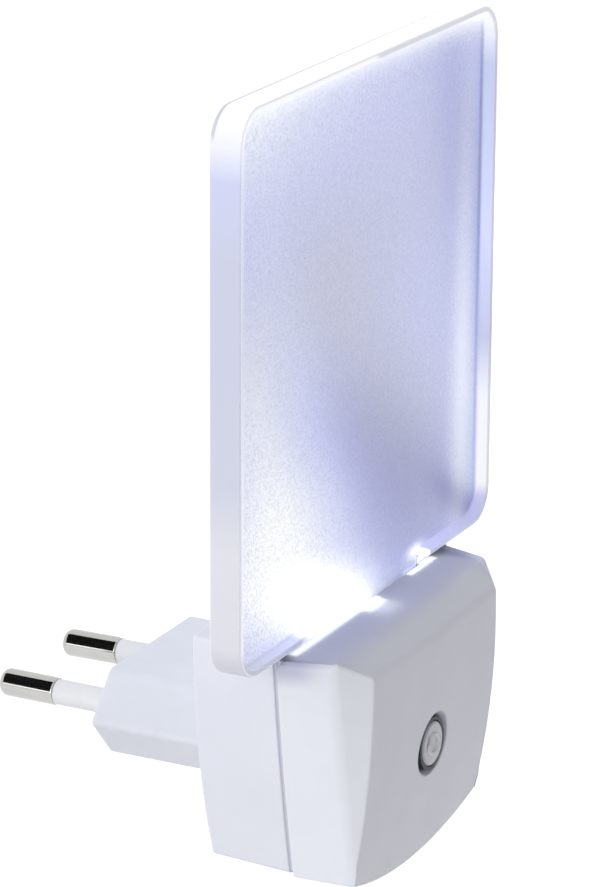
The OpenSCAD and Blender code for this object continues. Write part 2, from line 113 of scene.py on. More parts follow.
# Screws
SCREW_HEAD_R = 2.2 * MM
SCREW_X = (SCREW_HI.x - SCREW_LO.x) / 2 - SCREW_HEAD_R
UPPER_SCREW_Z = 6 * MM
LOWER_SCREW_Z = SCREW_LO.z + SCREW_HEAD_R
SCREW_SPOTS = [(-SCREW_X, UPPER_SCREW_Z), (SCREW_X, UPPER_SCREW_Z), (0, LOWER_SCREW_Z)]
BOSS_R = 2.7 * MM
BOSS_ROOT = 1.3 * MM
HEAD_HOLE_R = 2.4 * MM
HEAD_HOLE_DEPTH = 8 * MM
SCREW_HOLE_R = 1.4 * MM
SCREW_HOLE_DEPTH = 20 * MM

# Light panel
PANEL_HALF = PANEL_HI.x
PANEL_TOP = PANEL_HI.z
PANEL_H = 76.3 * MM
PANEL_LOW = PANEL_TOP - PANEL_H
PANEL_BACK_Y = PANEL_HI.y
PANEL_FRONT_Y = PANEL_LO.y
SUNK_FRONT = 1.8 * MM
PANEL_FLOOR_Y = PANEL_FRONT_Y + SUNK_FRONT
PANEL_R = 5 * MM
RIM_W = 0.9 * MM
TONGUE_HALF = 18.2 * MM
TONGUE_GAP = 0.2 * MM
GATE_TOP = PANEL_LOW + RIM_W + 1 * MM

# Plug. The shares are how far its ridges, and the ends of its flats, move out where a rim is added.
RIDGE_SHARE = 1.2
FLAT_SHARE = 0.7
FLANGE_RIM = 1.6 * MM
FLANGE_THICK = 2 * MM
PLUG_HALF = PLUG_HI.x - RIDGE_SHARE * FLANGE_RIM
PLUG_FLAT_HALF = 12 * MM
PLUG_HALF_H = PLUG_HI.z - FLANGE_RIM
PIN_X = 9.3 * MM
PIN_LENGTH = 19 * MM
PIN_NOSE_OUT = 0.3 * MM
PIN_TOE = math.atan(PIN_NOSE_OUT / PIN_LENGTH)
PIN_R = 2 * MM
SLEEVE_R = 1.825 * MM
SLEEVE_LENGTH = 10 * MM
SLEEVE_ROOT = 2 * MM
CORE_R = 1.5 * MM
CORE_RUN = 25 * MM

# Sensor
SENSOR_Z = (LENS_LO.z + LENS_HI.z) / 2
LENS_R = (LENS_HI.z - LENS_LO.z) / 2
SHROUD_R = (SHROUD_HI.z - SHROUD_LO.z) / 2
SENSOR_BORE_R = SHROUD_R + 0.1 * MM
SENSOR_BORE_DEPTH = 8 * MM
RECESS_R = 4.7 * MM
DISH_DEPTH = 0.9 * MM
SENSOR_LEAN = math.asin((BOW_START_Z - SENSOR_Z) / FRONT_BOW_R)

# Vertices along the top or underside, and down a side, of a casing ring
N_ACROSS = 18
N_DOWN = 14

# Vertices round a turned piece, a hole and a boss
TURNED_STEPS = 72
HOLE_STEPS = 48
BOSS_STEPS = 40

# How far a cutting shape stands past the surface that it opens
PAST = 1 * MM


# ---------------------------------------------------------------- mesh helpers

def mesh_object(name, points, faces):
    mesh = bpy.data.meshes.new(name)
    mesh.from_pydata([tuple(p) for p in points], [], faces)
    obj = bpy.data.objects.new(name, mesh)
    bpy.context.scene.collection.objects.link(obj)
    outward_faces(obj)
    return obj


def outward_faces(obj):
    work = bmesh.new()
    work.from_mesh(obj.data)
    bmesh.ops.recalc_face_normals(work, faces=work.faces)
    work.to_mesh(obj.data)
    work.free()


def settle(obj):
    """Puts the result of an object's modifiers into its mesh."""
    depsgraph = bpy.context.evaluated_depsgraph_get()
    settled = bpy.data.meshes.new_from_object(obj.evaluated_get(depsgraph))
    obj.modifiers.clear()
    old = obj.data
    obj.data = settled
    bpy.data.meshes.remove(old)


def combine(obj, tool, operation):
    """Puts the UNION of obj and tool, or their DIFFERENCE, into obj, and removes the tool."""
    step = obj.modifiers.new("combine", "BOOLEAN")
    step.operation = operation
    step.solver = "EXACT"
    step.object = tool
    settle(obj)
    bpy.data.objects.remove(tool)
    return obj


def cut(obj, tool):
    return combine(obj, tool, "DIFFERENCE")


def join(obj, tool):
    return combine(obj, tool, "UNION")


def bevel(obj, offsets, segments=5):
    """Rounds edges. offsets maps a pair of vertex numbers to how far the rounding starts from that edge."""
    widest = max(offsets.values())
    weights = obj.data.attributes.new("bevel_weight_edge", "FLOAT", "EDGE")
    for edge in obj.data.edges:
        offset = offsets.get(tuple(sorted(edge.vertices)), 0)
        weights.data[edge.index].value = offset / widest
    step = obj.modifiers.new("round", "BEVEL")
    step.limit_method = "WEIGHT"
    step.width = widest
    step.segments = segments
    step.use_clamp_overlap = False
    settle(obj)


def smooth(obj, sharp_degrees):
    """Smooth shading, with edges kept sharp where the surface turns by more than an angle."""
    obj.data.polygons.foreach_set("use_smooth", [True] * len(obj.data.polygons))
    obj.data.set_sharp_from_angle(angle=math.radians(sharp_degrees))
    step = obj.modifiers.new("shading", "WEIGHTED_NORMAL")
    step.keep_sharp = True


def ruled(rings):
    """Faces that join rings of equally many points, with a cap on each end."""
    count = len(rings[0])
    points = [p for ring in rings for p in ring]
    faces = []
    for r in range(len(rings) - 1):
        for i in range(count):
            j = (i + 1) % count
            a, b = r * count, (r + 1) * count
            faces.append((a + i, a + j, b + j, b + i))
    faces.append(tuple(range(count)))
    faces.append(tuple(range(len(points) - count, len(points))))
    return points, faces


def box_solid(name, low, high):
    outline = ((low[0], low[2]), (high[0], low[2]), (high[0], high[2]), (low[0], high[2]))
    ends = [[Vector((x, y, z)) for x, z in outline] for y in (low[1], high[1])]
    return mesh_object(name, *ruled(ends))


def lathe(name, profile, steps, at, turn):
    """Turns a profile of (radius, height) about the local Z axis. A radius of 0 closes an end."""
    points, faces, rows = [], [], []
    place = Vector(at)
    for radius, height in profile:
        if radius == 0:
            rows.append([len(points)])
            points.append(place + turn @ Vector((0, 0, height)))
            continue
        rows.append([len(points) + i for i in range(steps)])
        for i in range(steps):
            a = math.tau * i / steps
            points.append(place + turn @ Vector((radius * math.cos(a), radius * math.sin(a), height)))
    for low, high in zip(rows, rows[1:]):
        for i in range(steps):
            j = (i + 1) % steps
            if len(low) == 1:
                faces.append((low[0], high[j], high[i]))
            elif len(high) == 1:
                faces.append((low[i], low[j], high[0]))
            else:
                faces.append((low[i], low[j], high[j], high[i]))
    for row in (rows[0], rows[-1]):
        if len(row) > 1:
            faces.append(tuple(row))
    return mesh_object(name, points, faces)


def arc(centre, radius, start, end, steps):
    """Points of an arc in a profile, from one angle to another in degrees."""
    return [(centre[0] + radius * math.cos(math.radians(a)), centre[1] + radius * math.sin(math.radians(a)))
            for a in (start + (end - start) * i / steps for i in range(steps + 1))]


# Turns of local Z: to -Y, into the room, and to +Y, into the wall
TO_ROOM = Matrix(((1, 0, 0), (0, 0, -1), (0, 1, 0)))
TO_WALL = Matrix(((1, 0, 0), (0, 0, 1), (0, -1, 0)))


def finish_piece(obj, nodes, material, sharp_degrees=32):
    """Shades a piece, gives it a material, puts it under the root body, and hides the CAD nodes it stands
    for.
    """
    smooth(obj, sharp_degrees)
    obj.data.materials.clear()
    obj.data.materials.append(material)
    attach(obj, "root")
    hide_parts(*nodes)
    return obj


# ---------------------------------------------------------------- materials

class Shader:
    """Shader nodes under short names. Arguments may be numbers, colours or sockets."""

    def __init__(self, tree, surface, coordinates):
        self.tree = tree
        self.surface = tree.nodes[surface]
        self.place = self.node("ShaderNodeTexCoord").outputs[coordinates]
        self.x, self.y, self.z = self.node("ShaderNodeSeparateXYZ", self.place).outputs

    def node(self, kind, *inputs, **settings):
        made = self.tree.nodes.new(kind)
        for key, value in settings.items():
            setattr(made, key, value)
        for socket, value in zip(made.inputs, inputs):
            self.feed(socket, value)
        return made

    def feed(self, socket, value):
        if isinstance(value, bpy.types.NodeSocket):
            self.tree.links.new(value, socket)
        elif isinstance(value, bpy.types.Node):
            self.tree.links.new(value.outputs[0], socket)
        elif value is not None:
            socket.default_value = value

    def set(self, **values):
        for key, value in values.items():
            self.feed(self.surface.inputs[key.replace("_", " ")], value)

    def math(self, operation, a, b=0.0, c=0.0):
        return self.node("ShaderNodeMath", a, b, c, operation=operation).outputs[0]

    def noise(self, scale, detail=3.0, roughness=0.5, place=None):
        made = self.node("ShaderNodeTexNoise", place or self.place)
        made.inputs["Scale"].default_value = scale
        made.inputs["Detail"].default_value = detail
        made.inputs["Roughness"].default_value = roughness
        return made.outputs["Fac"]

    def range(self, value, low, high, to_low=0.0, to_high=1.0, kind="SMOOTHSTEP"):
        return self.node("ShaderNodeMapRange", value, low, high, to_low, to_high,
                         interpolation_type=kind).outputs[0]

    def spread(self, noise, to_low=0.0, to_high=1.0, kind="SMOOTHSTEP"):
        """Stretches noise, which seldom leaves 0.3 to 0.7, over a wider range."""
        return self.range(noise, 0.3, 0.7, to_low, to_high, kind)

    def mix(self, factor, a, b):
        made = self.node("ShaderNodeMix", data_type="RGBA")
        for name, value in (("Factor_Float", factor), ("A_Color", a), ("B_Color", b)):
            socket = next(s for s in made.inputs if s.identifier == name)
            self.feed(socket, value)
        return next(s for s in made.outputs if s.identifier == "Result_Color")

    def vector(self, operation, a, b=(0, 0, 0), c=(0, 0, 0)):
        return self.node("ShaderNodeVectorMath", a, b, c, operation=operation).outputs["Vector"]

    def lobe(self, x, z, long, wide, angle):
        """A soft spot in the XZ plane, in millimetres and degrees: 1 at its middle, fading to 0."""
        spot = self.node("ShaderNodeMapping", self.place, (x * MM, 0, z * MM), (0, -math.radians(angle), 0),
                         (long * MM, 1e3, wide * MM), vector_type="TEXTURE")
        spread = self.node("ShaderNodeVectorMath", spot, spot, operation="DOT_PRODUCT").outputs["Value"]
        return self.math("EXPONENT", self.math("MULTIPLY", spread, -1.0))

    def ramp(self, value, stops):
        """A colour along a line, from stops of (millimetres, colour)."""
        low, high = stops[0][0], stops[-1][0]
        made = self.node("ShaderNodeValToRGB", self.range(value, low * MM, high * MM, kind="LINEAR"))
        elements = made.color_ramp.elements
        while len(elements) < len(stops):
            elements.new(0.5)
        for element, (place, colour) in zip(elements, stops):
            element.position = (place - low) / (high - low)
            element.color = (*colour, 1)
        return made.outputs["Color"]

    def off_stage(self):
        """1 for the rays that should meet plain white: camera, gloss and glass."""
        rays = self.node("ShaderNodeLightPath").outputs
        either = self.math("MAXIMUM", rays["Is Camera Ray"], rays["Is Glossy Ray"])
        return self.math("MAXIMUM", either, rays["Is Transmission Ray"])

    def bump(self, height, strength, distance):
        made = self.node("ShaderNodeBump", strength, distance)
        self.feed(made.inputs["Height"], height)
        self.feed(self.surface.inputs["Normal"], made.outputs[0])


def new_shader(name):
    material = bpy.data.materials.new(name)
    material.use_nodes = True
    return material, Shader(material.node_tree, "Principled BSDF", "Object")


def rgb(red, green, blue):
    """A colour as it reads on screen, from 0 to 255, turned to linear light."""
    def linear(v):
        v /= 255
        return v / 12.92 if v <= 0.04045 else ((v + 0.055) / 1.055) ** 2.4
    return (linear(red), linear(green), linear(blue), 1.0)


# Noise scales, the number of blotches in a metre, and how deep the grain's bumps look
CLOUD_SCALE = 90
GLOSS_SCALE = 700
MOULD_GRAIN_SCALE = 5200
MOULD_GRAIN_DEPTH = 0.012 * MM
FROST_GRAIN_SCALE = 2900
FROST_GRAIN_DEPTH = 0.02 * MM
DRAW_LINE_SCALE = 2600
DRAW_LINE_DEPTH = 0.002 * MM

# The painted shade that the casing's and the lens's colours darken to
GROOVE_SHADE = rgb(208, 208, 218)
UNDER_PANEL_SHADE = rgb(204, 206, 224)
DISH_SHADE = rgb(138, 136, 154)
LENS_EDGE_SHADE = rgb(160, 158, 168)
BEAD_FOOT_SHADOW = rgb(84, 80, 92)


def moulded_plastic(name, light, dark, roughness=0.42, tint=None):
    """Satin moulding: a faint cloudy tone, a fine spark-eroded grain and uneven gloss."""
    material, s = new_shader(name)
    colour = s.mix(s.spread(s.noise(CLOUD_SCALE, 4, 0.6)), dark, light)
    s.set(Base_Color=tint(s, colour) if tint else colour)
    s.set(Roughness=s.spread(s.noise(GLOSS_SCALE), roughness - 0.04, roughness + 0.05))
    s.bump(s.noise(MOULD_GRAIN_SCALE, 2, 0.6), 0.35, MOULD_GRAIN_DEPTH)
    s.set(IOR=1.49)
    return material


def shaded_hollows(s, colour):
    """Paints shade into the colour: darker in the seam's groove, on the sides close under the panel, and in
    the dish round the lens.
    """
    # Painted shade along the floor of the seam's groove.
    in_groove = s.range(s.y, FRONT_START_Y + 0.02 * MM, FRONT_START_Y + 0.06 * MM)
    colour = s.mix(in_groove, colour, GROOVE_SHADE)
    # Painted shade on the upper sides close under the panel's foot.
    under_panel = s.math("MULTIPLY", s.range(s.z, FRONT_TOP_Z - 4.5 * MM, FRONT_TOP_Z - 1.2 * MM),
                         s.range(s.y, FRONT_START_Y - 7.5 * MM, FRONT_START_Y - 2 * MM))
    on_side = s.range(s.math("ABSOLUTE", s.x), SEAM_HALF - 4 * MM, SEAM_HALF - 2 * MM)
    colour = s.mix(s.math("MULTIPLY", under_panel, on_side), colour, UNDER_PANEL_SHADE)
    # Painted shade in the dish round the lens, strongest next to the ring.
    radius = off_axis(s)
    near_face = s.range(s.y, FACE_Y + 1 * MM, FACE_Y + 2.5 * MM, 1, 0)
    dish_shade_strength = s.range(radius, SHROUD_R, RECESS_R, 1, 0.75)
    inside = s.math("MULTIPLY", s.range(radius, RECESS_R - 0.25 * MM, RECESS_R + 0.15 * MM, 1, 0), near_face)
    return s.mix(s.math("MULTIPLY", inside, dish_shade_strength), colour, DISH_SHADE)


def off_axis(s):
    """How far a point lies from the sensor's axis."""
    height = s.math("SUBTRACT", s.z, SENSOR_Z)
    return s.math("SQRT", s.math("ADD", s.math("MULTIPLY", s.x, s.x), s.math("MULTIPLY", height, height)))


def lens_painted_shade(s, colour):
    """Painted shade on the lens: darker towards its edge, and a painted shadow at the left foot of its bead.
    """
    # Painted shade towards the lens's edge.
    edge_shade = s.range(off_axis(s), LENS_R - 0.5 * MM, LENS_R - 0.1 * MM, 0, 0.6)
    colour = s.mix(edge_shade, colour, LENS_EDGE_SHADE)
    # Painted shadow: a slanted dark stroke at the bead's left foot.
    shadow = s.lobe(-1.75, SENSOR_Z / MM + 0.55, 1.0, 0.2, 67)
    return s.mix(s.math("MULTIPLY", shadow, 0.9), colour, BEAD_FOOT_SHADOW)


def nickel(name):
    """Bright plated metal with faint lines along its length."""
    material, s = new_shader(name)
    drawn = s.node("ShaderNodeMapping", s.place, (0, 0, 0), (0, 0, 0), (1, 0.06, 1)).outputs[0]
    lines = s.noise(DRAW_LINE_SCALE, 3, 0.6, drawn)
    s.set(Base_Color=s.mix(s.noise(500), rgb(188, 187, 184), rgb(201, 200, 197)), Metallic=1.0)
    s.set(Roughness=s.spread(lines, 0.05, 0.13))
    s.bump(lines, 0.2, DRAW_LINE_DEPTH)
    return material


# The light in the panel, as soft spots seen from the room: x, z, length, width (mm), angle (degrees), colour
PANEL_SPOTS = [
    (-60, 29, 61, 10.8, 6, (0.28, 0.27, 0.12)),
    (-27, 43, 28, 10.4, 122, (0.25, 0.25, 0.08)),
    (-11, 21.5, 16, 4.8, 163, (0.75, 0.75, 0.5)),
    (29, 96, 90, 3.4, -2, (0.68, 0.66, 0.29)),
    (-45, 96, 40, 11.8, 5, (0.30, 0.30, 0.12)),
    (33, 43, 40, 3.8, 89, (0.24, 0.25, 0.16)),
    (4, 36, 31, 12, 158, (-0.25, -0.25, -0.12)),
    (39, 64, 40, 10.8, 110, (-0.18, -0.18, -0.15)),
    (-7, 68.5, 40, 12, 10, (-0.02, -0.03, -0.09)),
    (11, 38, 35, 12, 133, (-0.02, -0.03, -0.18)),
    (-8, 34, 40, 6.5, -63, (0.06, 0.07, 0.08)),
    (34, 22, 10.4, 2.8, 146, (-0.23, -0.25, -0.25)),
    (37.7, 78, 26, 0.5, 90, (-0.20, -0.20, -0.24)),
    (37.4, 38, 16, 0.4, 90, (-0.12, -0.14, -0.10)),
    (17.6, 19.8, 2.6, 1.0, 0, (0.55, 0.55, 0.4)),
]
PANEL_BASE_GLOW = (0.243, 0.265, 0.48)
GATE_END_GLOW = (1, 1, 1, 1)
RIM_LINE_GLOW = (0.38, 0.39, 0.43, 1)
BACK_EDGE_GLOW = (0.12, 0.12, 0.12, 1)
FROST_DARK, FROST_LIGHT = (0.56, 0.57, 0.61, 1), (0.62, 0.63, 0.67, 1)

# The light along the panel's edges: height or distance across (mm), colour
RIGHT_WALL_GLOW = [(20, (0.06, 0.07, 0.20)), (22, (0.20, 0.20, 0.32)), (24, (0.52, 0.52, 0.46)),
                   (37, (0.48, 0.48, 0.46)), (46, (0.14, 0.165, 0.31)), (62, (0.285, 0.32, 0.50)),
                   (86, (0.16, 0.20, 0.36)), (92, (0.50, 0.50, 0.50))]
LEFT_RIM_GLOW = [(20, (0.30, 0.30, 0.36)), (24, (0.55, 0.55, 0.58)), (40, (0.52, 0.53, 0.58)),
                 (66, (0.32, 0.33, 0.46)), (84, (0.36, 0.38, 0.56)), (92, (0.60, 0.60, 0.60))]
SIDE_GLOW = [(20, (0.06, 0.06, 0.08)), (24, (0.16, 0.16, 0.16)), (37, (0.17, 0.17, 0.17)),
             (46, (0.06, 0.07, 0.13)), (75, (0.04, 0.05, 0.14)), (86, (0.06, 0.08, 0.26)),
             (94, (0.50, 0.50, 0.50))]
LOW_RIM_GLOW = [(-36, (0.20, 0.21, 0.26)), (-22, (0.20, 0.22, 0.35)), (-19, (0.9, 0.9, 0.9)),
                (3, (0.9, 0.9, 0.9)), (8, (0.20, 0.23, 0.46)), (13, (0.30, 0.33, 0.50)),
                (15, (0.9, 0.9, 0.9)), (17.5, (0.9, 0.9, 0.9)), (19, (0.28, 0.29, 0.44)),
                (36, (0.18, 0.19, 0.36))]


def frosted_plastic(name):
    """Frosted clear plastic with a cool glow from light below, brightest at the light gate."""
    material, s = new_shader(name)
    grain = s.noise(FROST_GRAIN_SCALE, 2, 0.6)
    inset = s.math("ADD", panel_inset(s), s.math("MULTIPLY", light_gate(s), 5 * MM))
    in_frame = s.range(inset, RIM_W + 0.1 * MM, RIM_W + 0.5 * MM, 1, 0)
    on_rim = s.range(s.y, PANEL_FRONT_Y + 0.1 * MM, PANEL_FRONT_Y + 0.3 * MM, 1, 0)
    glow = s.mix(in_frame, floor_glow(s), frame_glow(s, on_rim))
    glow = edge_glow(s, glow, inset, in_frame, on_rim)

    on_floor = s.math("SUBTRACT", 1.0, in_frame)
    frost = s.math("MULTIPLY", s.spread(grain, -0.5, 0.5, "LINEAR"), on_floor)
    tone = s.math("ADD", frost, 0.5)
    s.set(Base_Color=s.mix(tone, FROST_DARK, FROST_LIGHT))
    s.set(Emission_Color=glow, Emission_Strength=s.math("MULTIPLY_ADD", frost, sparkle(s), 1.0))
    s.set(Roughness=s.math("MULTIPLY_ADD", on_floor, 0.15, 0.33), IOR=1.49)
    s.bump(tone, 0.4, FROST_GRAIN_DEPTH)
    return material


def floor_glow(s):
    """The glow of the panel's sunk floor: one even tone with soft spots added."""
    glow = s.node("ShaderNodeCombineXYZ", *PANEL_BASE_GLOW).outputs[0]
    for x, z, long, wide, angle, colour in PANEL_SPOTS:
        glow = s.vector("MULTIPLY_ADD", s.lobe(x, z, long, wide, angle), colour, glow)
    return s.vector("MAXIMUM", glow)


def frame_glow(s, on_rim):
    """The glow of the panel's raised edge, first up its two sides and then along its foot."""
    right_wall = s.ramp(s.z, RIGHT_WALL_GLOW)
    right_rim = s.vector("MULTIPLY_ADD", right_wall, (0.5, 0.5, 0.5), (0.08, 0.08, 0.10))
    right = s.mix(on_rim, right_wall, right_rim)
    upright = s.mix(s.range(s.x, -1 * MM, 1 * MM), s.ramp(s.z, LEFT_RIM_GLOW), right)
    above_foot = s.range(s.z, PANEL_LOW + 1.2 * MM, PANEL_LOW + 5 * MM)
    return s.mix(above_foot, s.ramp(s.x, LOW_RIM_GLOW), upright)


def edge_glow(s, glow, inset, in_frame, on_rim):
    """Adds the panel's outer side, the lit ends of its gate, the line along its rim and its dim back edge."""
    on_outside = s.range(inset, 0.1 * MM, 0.25 * MM, 1, 0)
    glow = s.mix(on_outside, glow, s.ramp(s.z, SIDE_GLOW))

    across = s.math("ABSOLUTE", s.x)
    near_gate = s.math("MULTIPLY", s.range(across, TONGUE_HALF + 0.3 * MM, TONGUE_HALF + 1.2 * MM, 1, 0),
                       s.range(s.z, PANEL_LOW + 2 * MM, PANEL_LOW + 3 * MM, 1, 0))
    glow = s.mix(s.math("MULTIPLY", near_gate, in_frame), glow, GATE_END_GLOW)

    edge_line = s.math("MULTIPLY", s.range(inset, 0.06 * MM, 0.14 * MM),
                       s.range(inset, 0.18 * MM, 0.32 * MM, 1, 0))
    glow = s.mix(s.math("MULTIPLY", edge_line, on_rim), glow, RIM_LINE_GLOW)

    back_edge = s.math("MULTIPLY", s.range(s.z, PANEL_TOP - 4.5 * MM, PANEL_TOP - 3 * MM),
                       s.range(s.y, PANEL_BACK_Y - 0.9 * MM, PANEL_BACK_Y - 0.6 * MM))
    back_edge = s.math("MULTIPLY", back_edge, s.range(inset, 0.3 * MM, 0.6 * MM, 1, 0))
    return s.mix(back_edge, glow, BACK_EDGE_GLOW)


def sparkle(s):
    """How strongly the frost's grain shows in the glow: more at the lower left and near the top."""
    amount = 0.3
    for spot, strength in ((s.lobe(-31, 25, 7, 4, 125), 0.15), (s.lobe(-22, 37, 30, 18, 95), 0.16),
                           (s.range(s.z, 80 * MM, 92 * MM), 0.15),
                           (s.range(s.x, -34 * MM, -24 * MM, 1, 0), 0.06)):
        amount = s.math("MULTIPLY_ADD", spot, strength, amount)
    return amount


def light_gate(s):
    """1 in the middle of the panel's foot, where its rim is open and the light comes in."""
    across = s.range(s.math("ABSOLUTE", s.x), TONGUE_HALF - 0.1 * MM, TONGUE_HALF + 0.1 * MM, 1, 0)
    low = s.range(s.z, GATE_TOP - 0.4 * MM, GATE_TOP + 0.4 * MM, 1, 0)
    return s.math("MULTIPLY", across, low)


def panel_inset(s):
    """How far a point lies inside the panel's outline, which is a rectangle with round corners."""
    mid_z, half_h = (PANEL_TOP + PANEL_LOW) / 2, (PANEL_TOP - PANEL_LOW) / 2
    across = s.math("SUBTRACT", s.math("ABSOLUTE", s.x), PANEL_HALF - PANEL_R)
    up = s.math("SUBTRACT", s.math("ABSOLUTE", s.math("SUBTRACT", s.z, mid_z)), half_h - PANEL_R)
    squares = [s.math("POWER", s.math("MAXIMUM", v, 0.0), 2.0) for v in (across, up)]
    beyond = s.math("SQRT", s.math("ADD", *squares))
    inner = s.math("MINIMUM", s.math("MAXIMUM", across, up), 0.0)
    return s.math("SUBTRACT", PANEL_R, s.math("ADD", beyond, inner))


CASING_WHITE = moulded_plastic("casing_white", rgb(231, 233, 240), rgb(228, 230, 237))
# Painted light: the front casing's white is lighter than the rear casing's, standing in for more light on it.
FRONT_WHITE_PAINTED_LIGHTER = moulded_plastic("front_white_painted_lighter", rgb(242, 244, 249), rgb(239, 241, 246),
                              tint=shaded_hollows)
PLUG_WHITE = moulded_plastic("plug_white", rgb(228, 231, 237), rgb(223, 226, 232), roughness=0.5)
SLEEVE_WHITE = moulded_plastic("sleeve_white", rgb(235, 235, 235), rgb(231, 231, 232), roughness=0.38)
PIN_NICKEL = nickel("pin_nickel")
SHROUD_DARK = moulded_plastic("shroud_dark", rgb(54, 54, 64), rgb(46, 46, 56), roughness=0.5)
LENS_MILKY = moulded_plastic("lens_milky", rgb(224, 224, 227), rgb(212, 212, 216), roughness=0.25,
                             tint=lens_painted_shade)
PANEL_FROST = frosted_plastic("panel_frost")


# ---------------------------------------------------------------- casing shape

def sag(run, radius):
    """How far a circle's edge falls away at a distance from its top."""
    return radius - math.sqrt(radius * radius - run * run)


def back_half(z):
    return BACK_HALF - sag(TOP_Z - z, BACK_SIDE_R)


def seam_half(z):
    return SEAM_HALF - SEAM_DRAFT * (TOP_Z - z) - sag(TOP_Z - z, SEAM_SIDE_R)


def shoulder_half(z):
    return seam_half(z) - SHOULDER_IN + FACET_DRAFT * (TOP_Z - z)


def front_half(z):
    swollen = FRONT_HALF + FRONT_SWELL * (1 - ((z - SWELL_Z) / (BROW_Z - SWELL_Z)) ** 2)
    return min(swollen, shoulder_half(z) - LEAST_FACET)


def face_y(z):
    return FACE_Y + sag(max(0, BOW_START_Z - z), FRONT_BOW_R)


def shoulder_y(z):
    return max(FACE_Y + BROW_DEPTH - SHOULDER_LEAN * (TOP_Z - z), face_y(z) + LEAST_FACET_DEPTH)


def facet_width(z):
    return math.hypot(shoulder_half(z) - front_half(z), shoulder_y(z) - face_y(z))


def underside(x, low):
    return low + sag(x, UNDERSIDE_R)


def low_corner(half, low):
    """Height at which a side with this half width meets the underside."""
    z = low
    for _ in range(12):
        z = underside(half(z), low)
    return z


def casing_ring(half, depth, top, low):
    """Points round the casing from its top left corner. half and depth give x and y at a height."""
    z_end = low_corner(half, low)
    heights = [top + (z_end - top) * i / N_DOWN for i in range(N_DOWN + 1)]
    ring = [Vector((half(top) * (2 * i / N_ACROSS - 1), depth(top), top)) for i in range(N_ACROSS)]
    ring += [Vector((half(z), depth(z), z)) for z in heights[:-1]]
    for i in range(N_ACROSS):
        x = half(z_end) * (1 - 2 * i / N_ACROSS)
        z = underside(x, low)
        ring.append(Vector((x, depth(z), z)))
    ring += [Vector((-half(z), depth(z), z)) for z in reversed(heights[1:])]
    return ring


RING = 2 * (N_ACROSS + N_DOWN)
TOP_RUN = range(0, N_ACROSS)
RIGHT_RUN = range(N_ACROSS, N_ACROSS + N_DOWN)
LOW_RUN = range(N_ACROSS + N_DOWN, 2 * N_ACROSS + N_DOWN)
LEFT_RUN = range(2 * N_ACROSS + N_DOWN, RING)
TOP_CORNERS = (0, N_ACROSS)
LOW_CORNERS = (N_ACROSS + N_DOWN, 2 * N_ACROSS + N_DOWN)

# The front casing's rings, in their order
SEAM, SHOULDER, FACE = range(3)


def along(ring, run, offset):
    """Bevel offsets for a run of edges along one ring."""
    first = ring * RING
    return {tuple(sorted((first + i, first + (i + 1) % RING))): offset for i in run}


def between(ring, corners, offset):
    """Bevel offsets for the edges from one ring to the next at some corners."""
    first = ring * RING
    return {(first + i, first + RING + i): offset for i in corners}


def inset_ring(half, y, inset, low):
    return casing_ring(lambda z: half(z) - inset, lambda z: y, TOP_Z - inset, low + inset)


def seam_prism(name, inset, start_y, end_y):
    """A solid with the seam's outline, drawn in by an inset, from one depth to another."""
    rings = [inset_ring(seam_half, y, inset, REAR_LOW_Z) for y in (start_y, end_y)]
    return mesh_object(name, *ruled(rings))


def screw_hole(name, spot, mouth_y):
    """The counterbore and hole for one screw, with a rounded mouth."""
    flare = 0.4 * MM
    profile = [(0, -PAST), (HEAD_HOLE_R + flare, -PAST)]
    profile += arc((HEAD_HOLE_R + flare, flare), flare, 270, 180, 4)
    profile += [(HEAD_HOLE_R, HEAD_HOLE_DEPTH), (SCREW_HOLE_R, HEAD_HOLE_DEPTH),
                (SCREW_HOLE_R, SCREW_HOLE_DEPTH), (0, SCREW_HOLE_DEPTH)]
    return lathe(name, profile, HOLE_STEPS, (spot[0], mouth_y, spot[1]), TO_ROOM)


def rear_shell():
    rings = [casing_ring(back_half, lambda z: BACK_Y, TOP_Z, REAR_LOW_Z),
             casing_ring(seam_half, lambda z: SEAM_Y, TOP_Z, REAR_LOW_Z)]
    shell = mesh_object("rear_shell", *ruled(rings))
    back_round, corner_round = 0.55 * MM, 0.6 * MM
    offsets = along(0, range(RING), back_round)
    offsets.update(along(1, range(RING), SEAM_ROUND))
    offsets.update(between(0, TOP_CORNERS + LOW_CORNERS, corner_round))
    bevel(shell, offsets)
    cavity_rings = [inset_ring(back_half, BACK_Y - WALL, WALL, REAR_LOW_Z),
                    inset_ring(seam_half, SEAM_Y - PAST, WALL, REAR_LOW_Z)]
    cut(shell, mesh_object("cavity", *ruled(cavity_rings)))
    cut(shell, seam_prism("rabbet", RABBET, SEAM_Y + RABBET_DEPTH, SEAM_Y - PAST))
    boss_run = BACK_Y - SEAM_Y - BOSS_ROOT
    boss = [(0, 0), (BOSS_R, 0), (BOSS_R, boss_run), (0, boss_run)]
    for x, z in SCREW_SPOTS:
        join(shell, lathe("boss", boss, BOSS_STEPS, (x, BACK_Y - BOSS_ROOT, z), TO_ROOM))
    for spot in SCREW_SPOTS:
        cut(shell, screw_hole("screw_hole", spot, BACK_Y))
    cut(shell, plug_prism("plug_opening", 0.1 * MM, BACK_Y + PAST, BACK_Y - WALL - PAST))
    slot_half = TONGUE_HALF + TONGUE_GAP
    cut(shell, box_solid("slot", (-slot_half, SEAM_Y - PAST, TOP_Z - WALL - PAST),
                         (slot_half, PANEL_BACK_Y + TONGUE_GAP, TOP_Z + PAST)))
    return finish_piece(shell, ["rear_casing"], CASING_WHITE)


def crown_ring(ring):
    """Pushes the top and the underside of the front face's ring out to the face's crown."""
    for i in [*range(1, N_ACROSS), *range(N_ACROSS + N_DOWN + 1, 2 * N_ACROSS + N_DOWN)]:
        u = ring[i].x / (ring[N_ACROSS].x if ring[i].z > 0 else ring[N_ACROSS + N_DOWN].x)
        ring[i].y -= FRONT_CROWN * (1 - u * u)


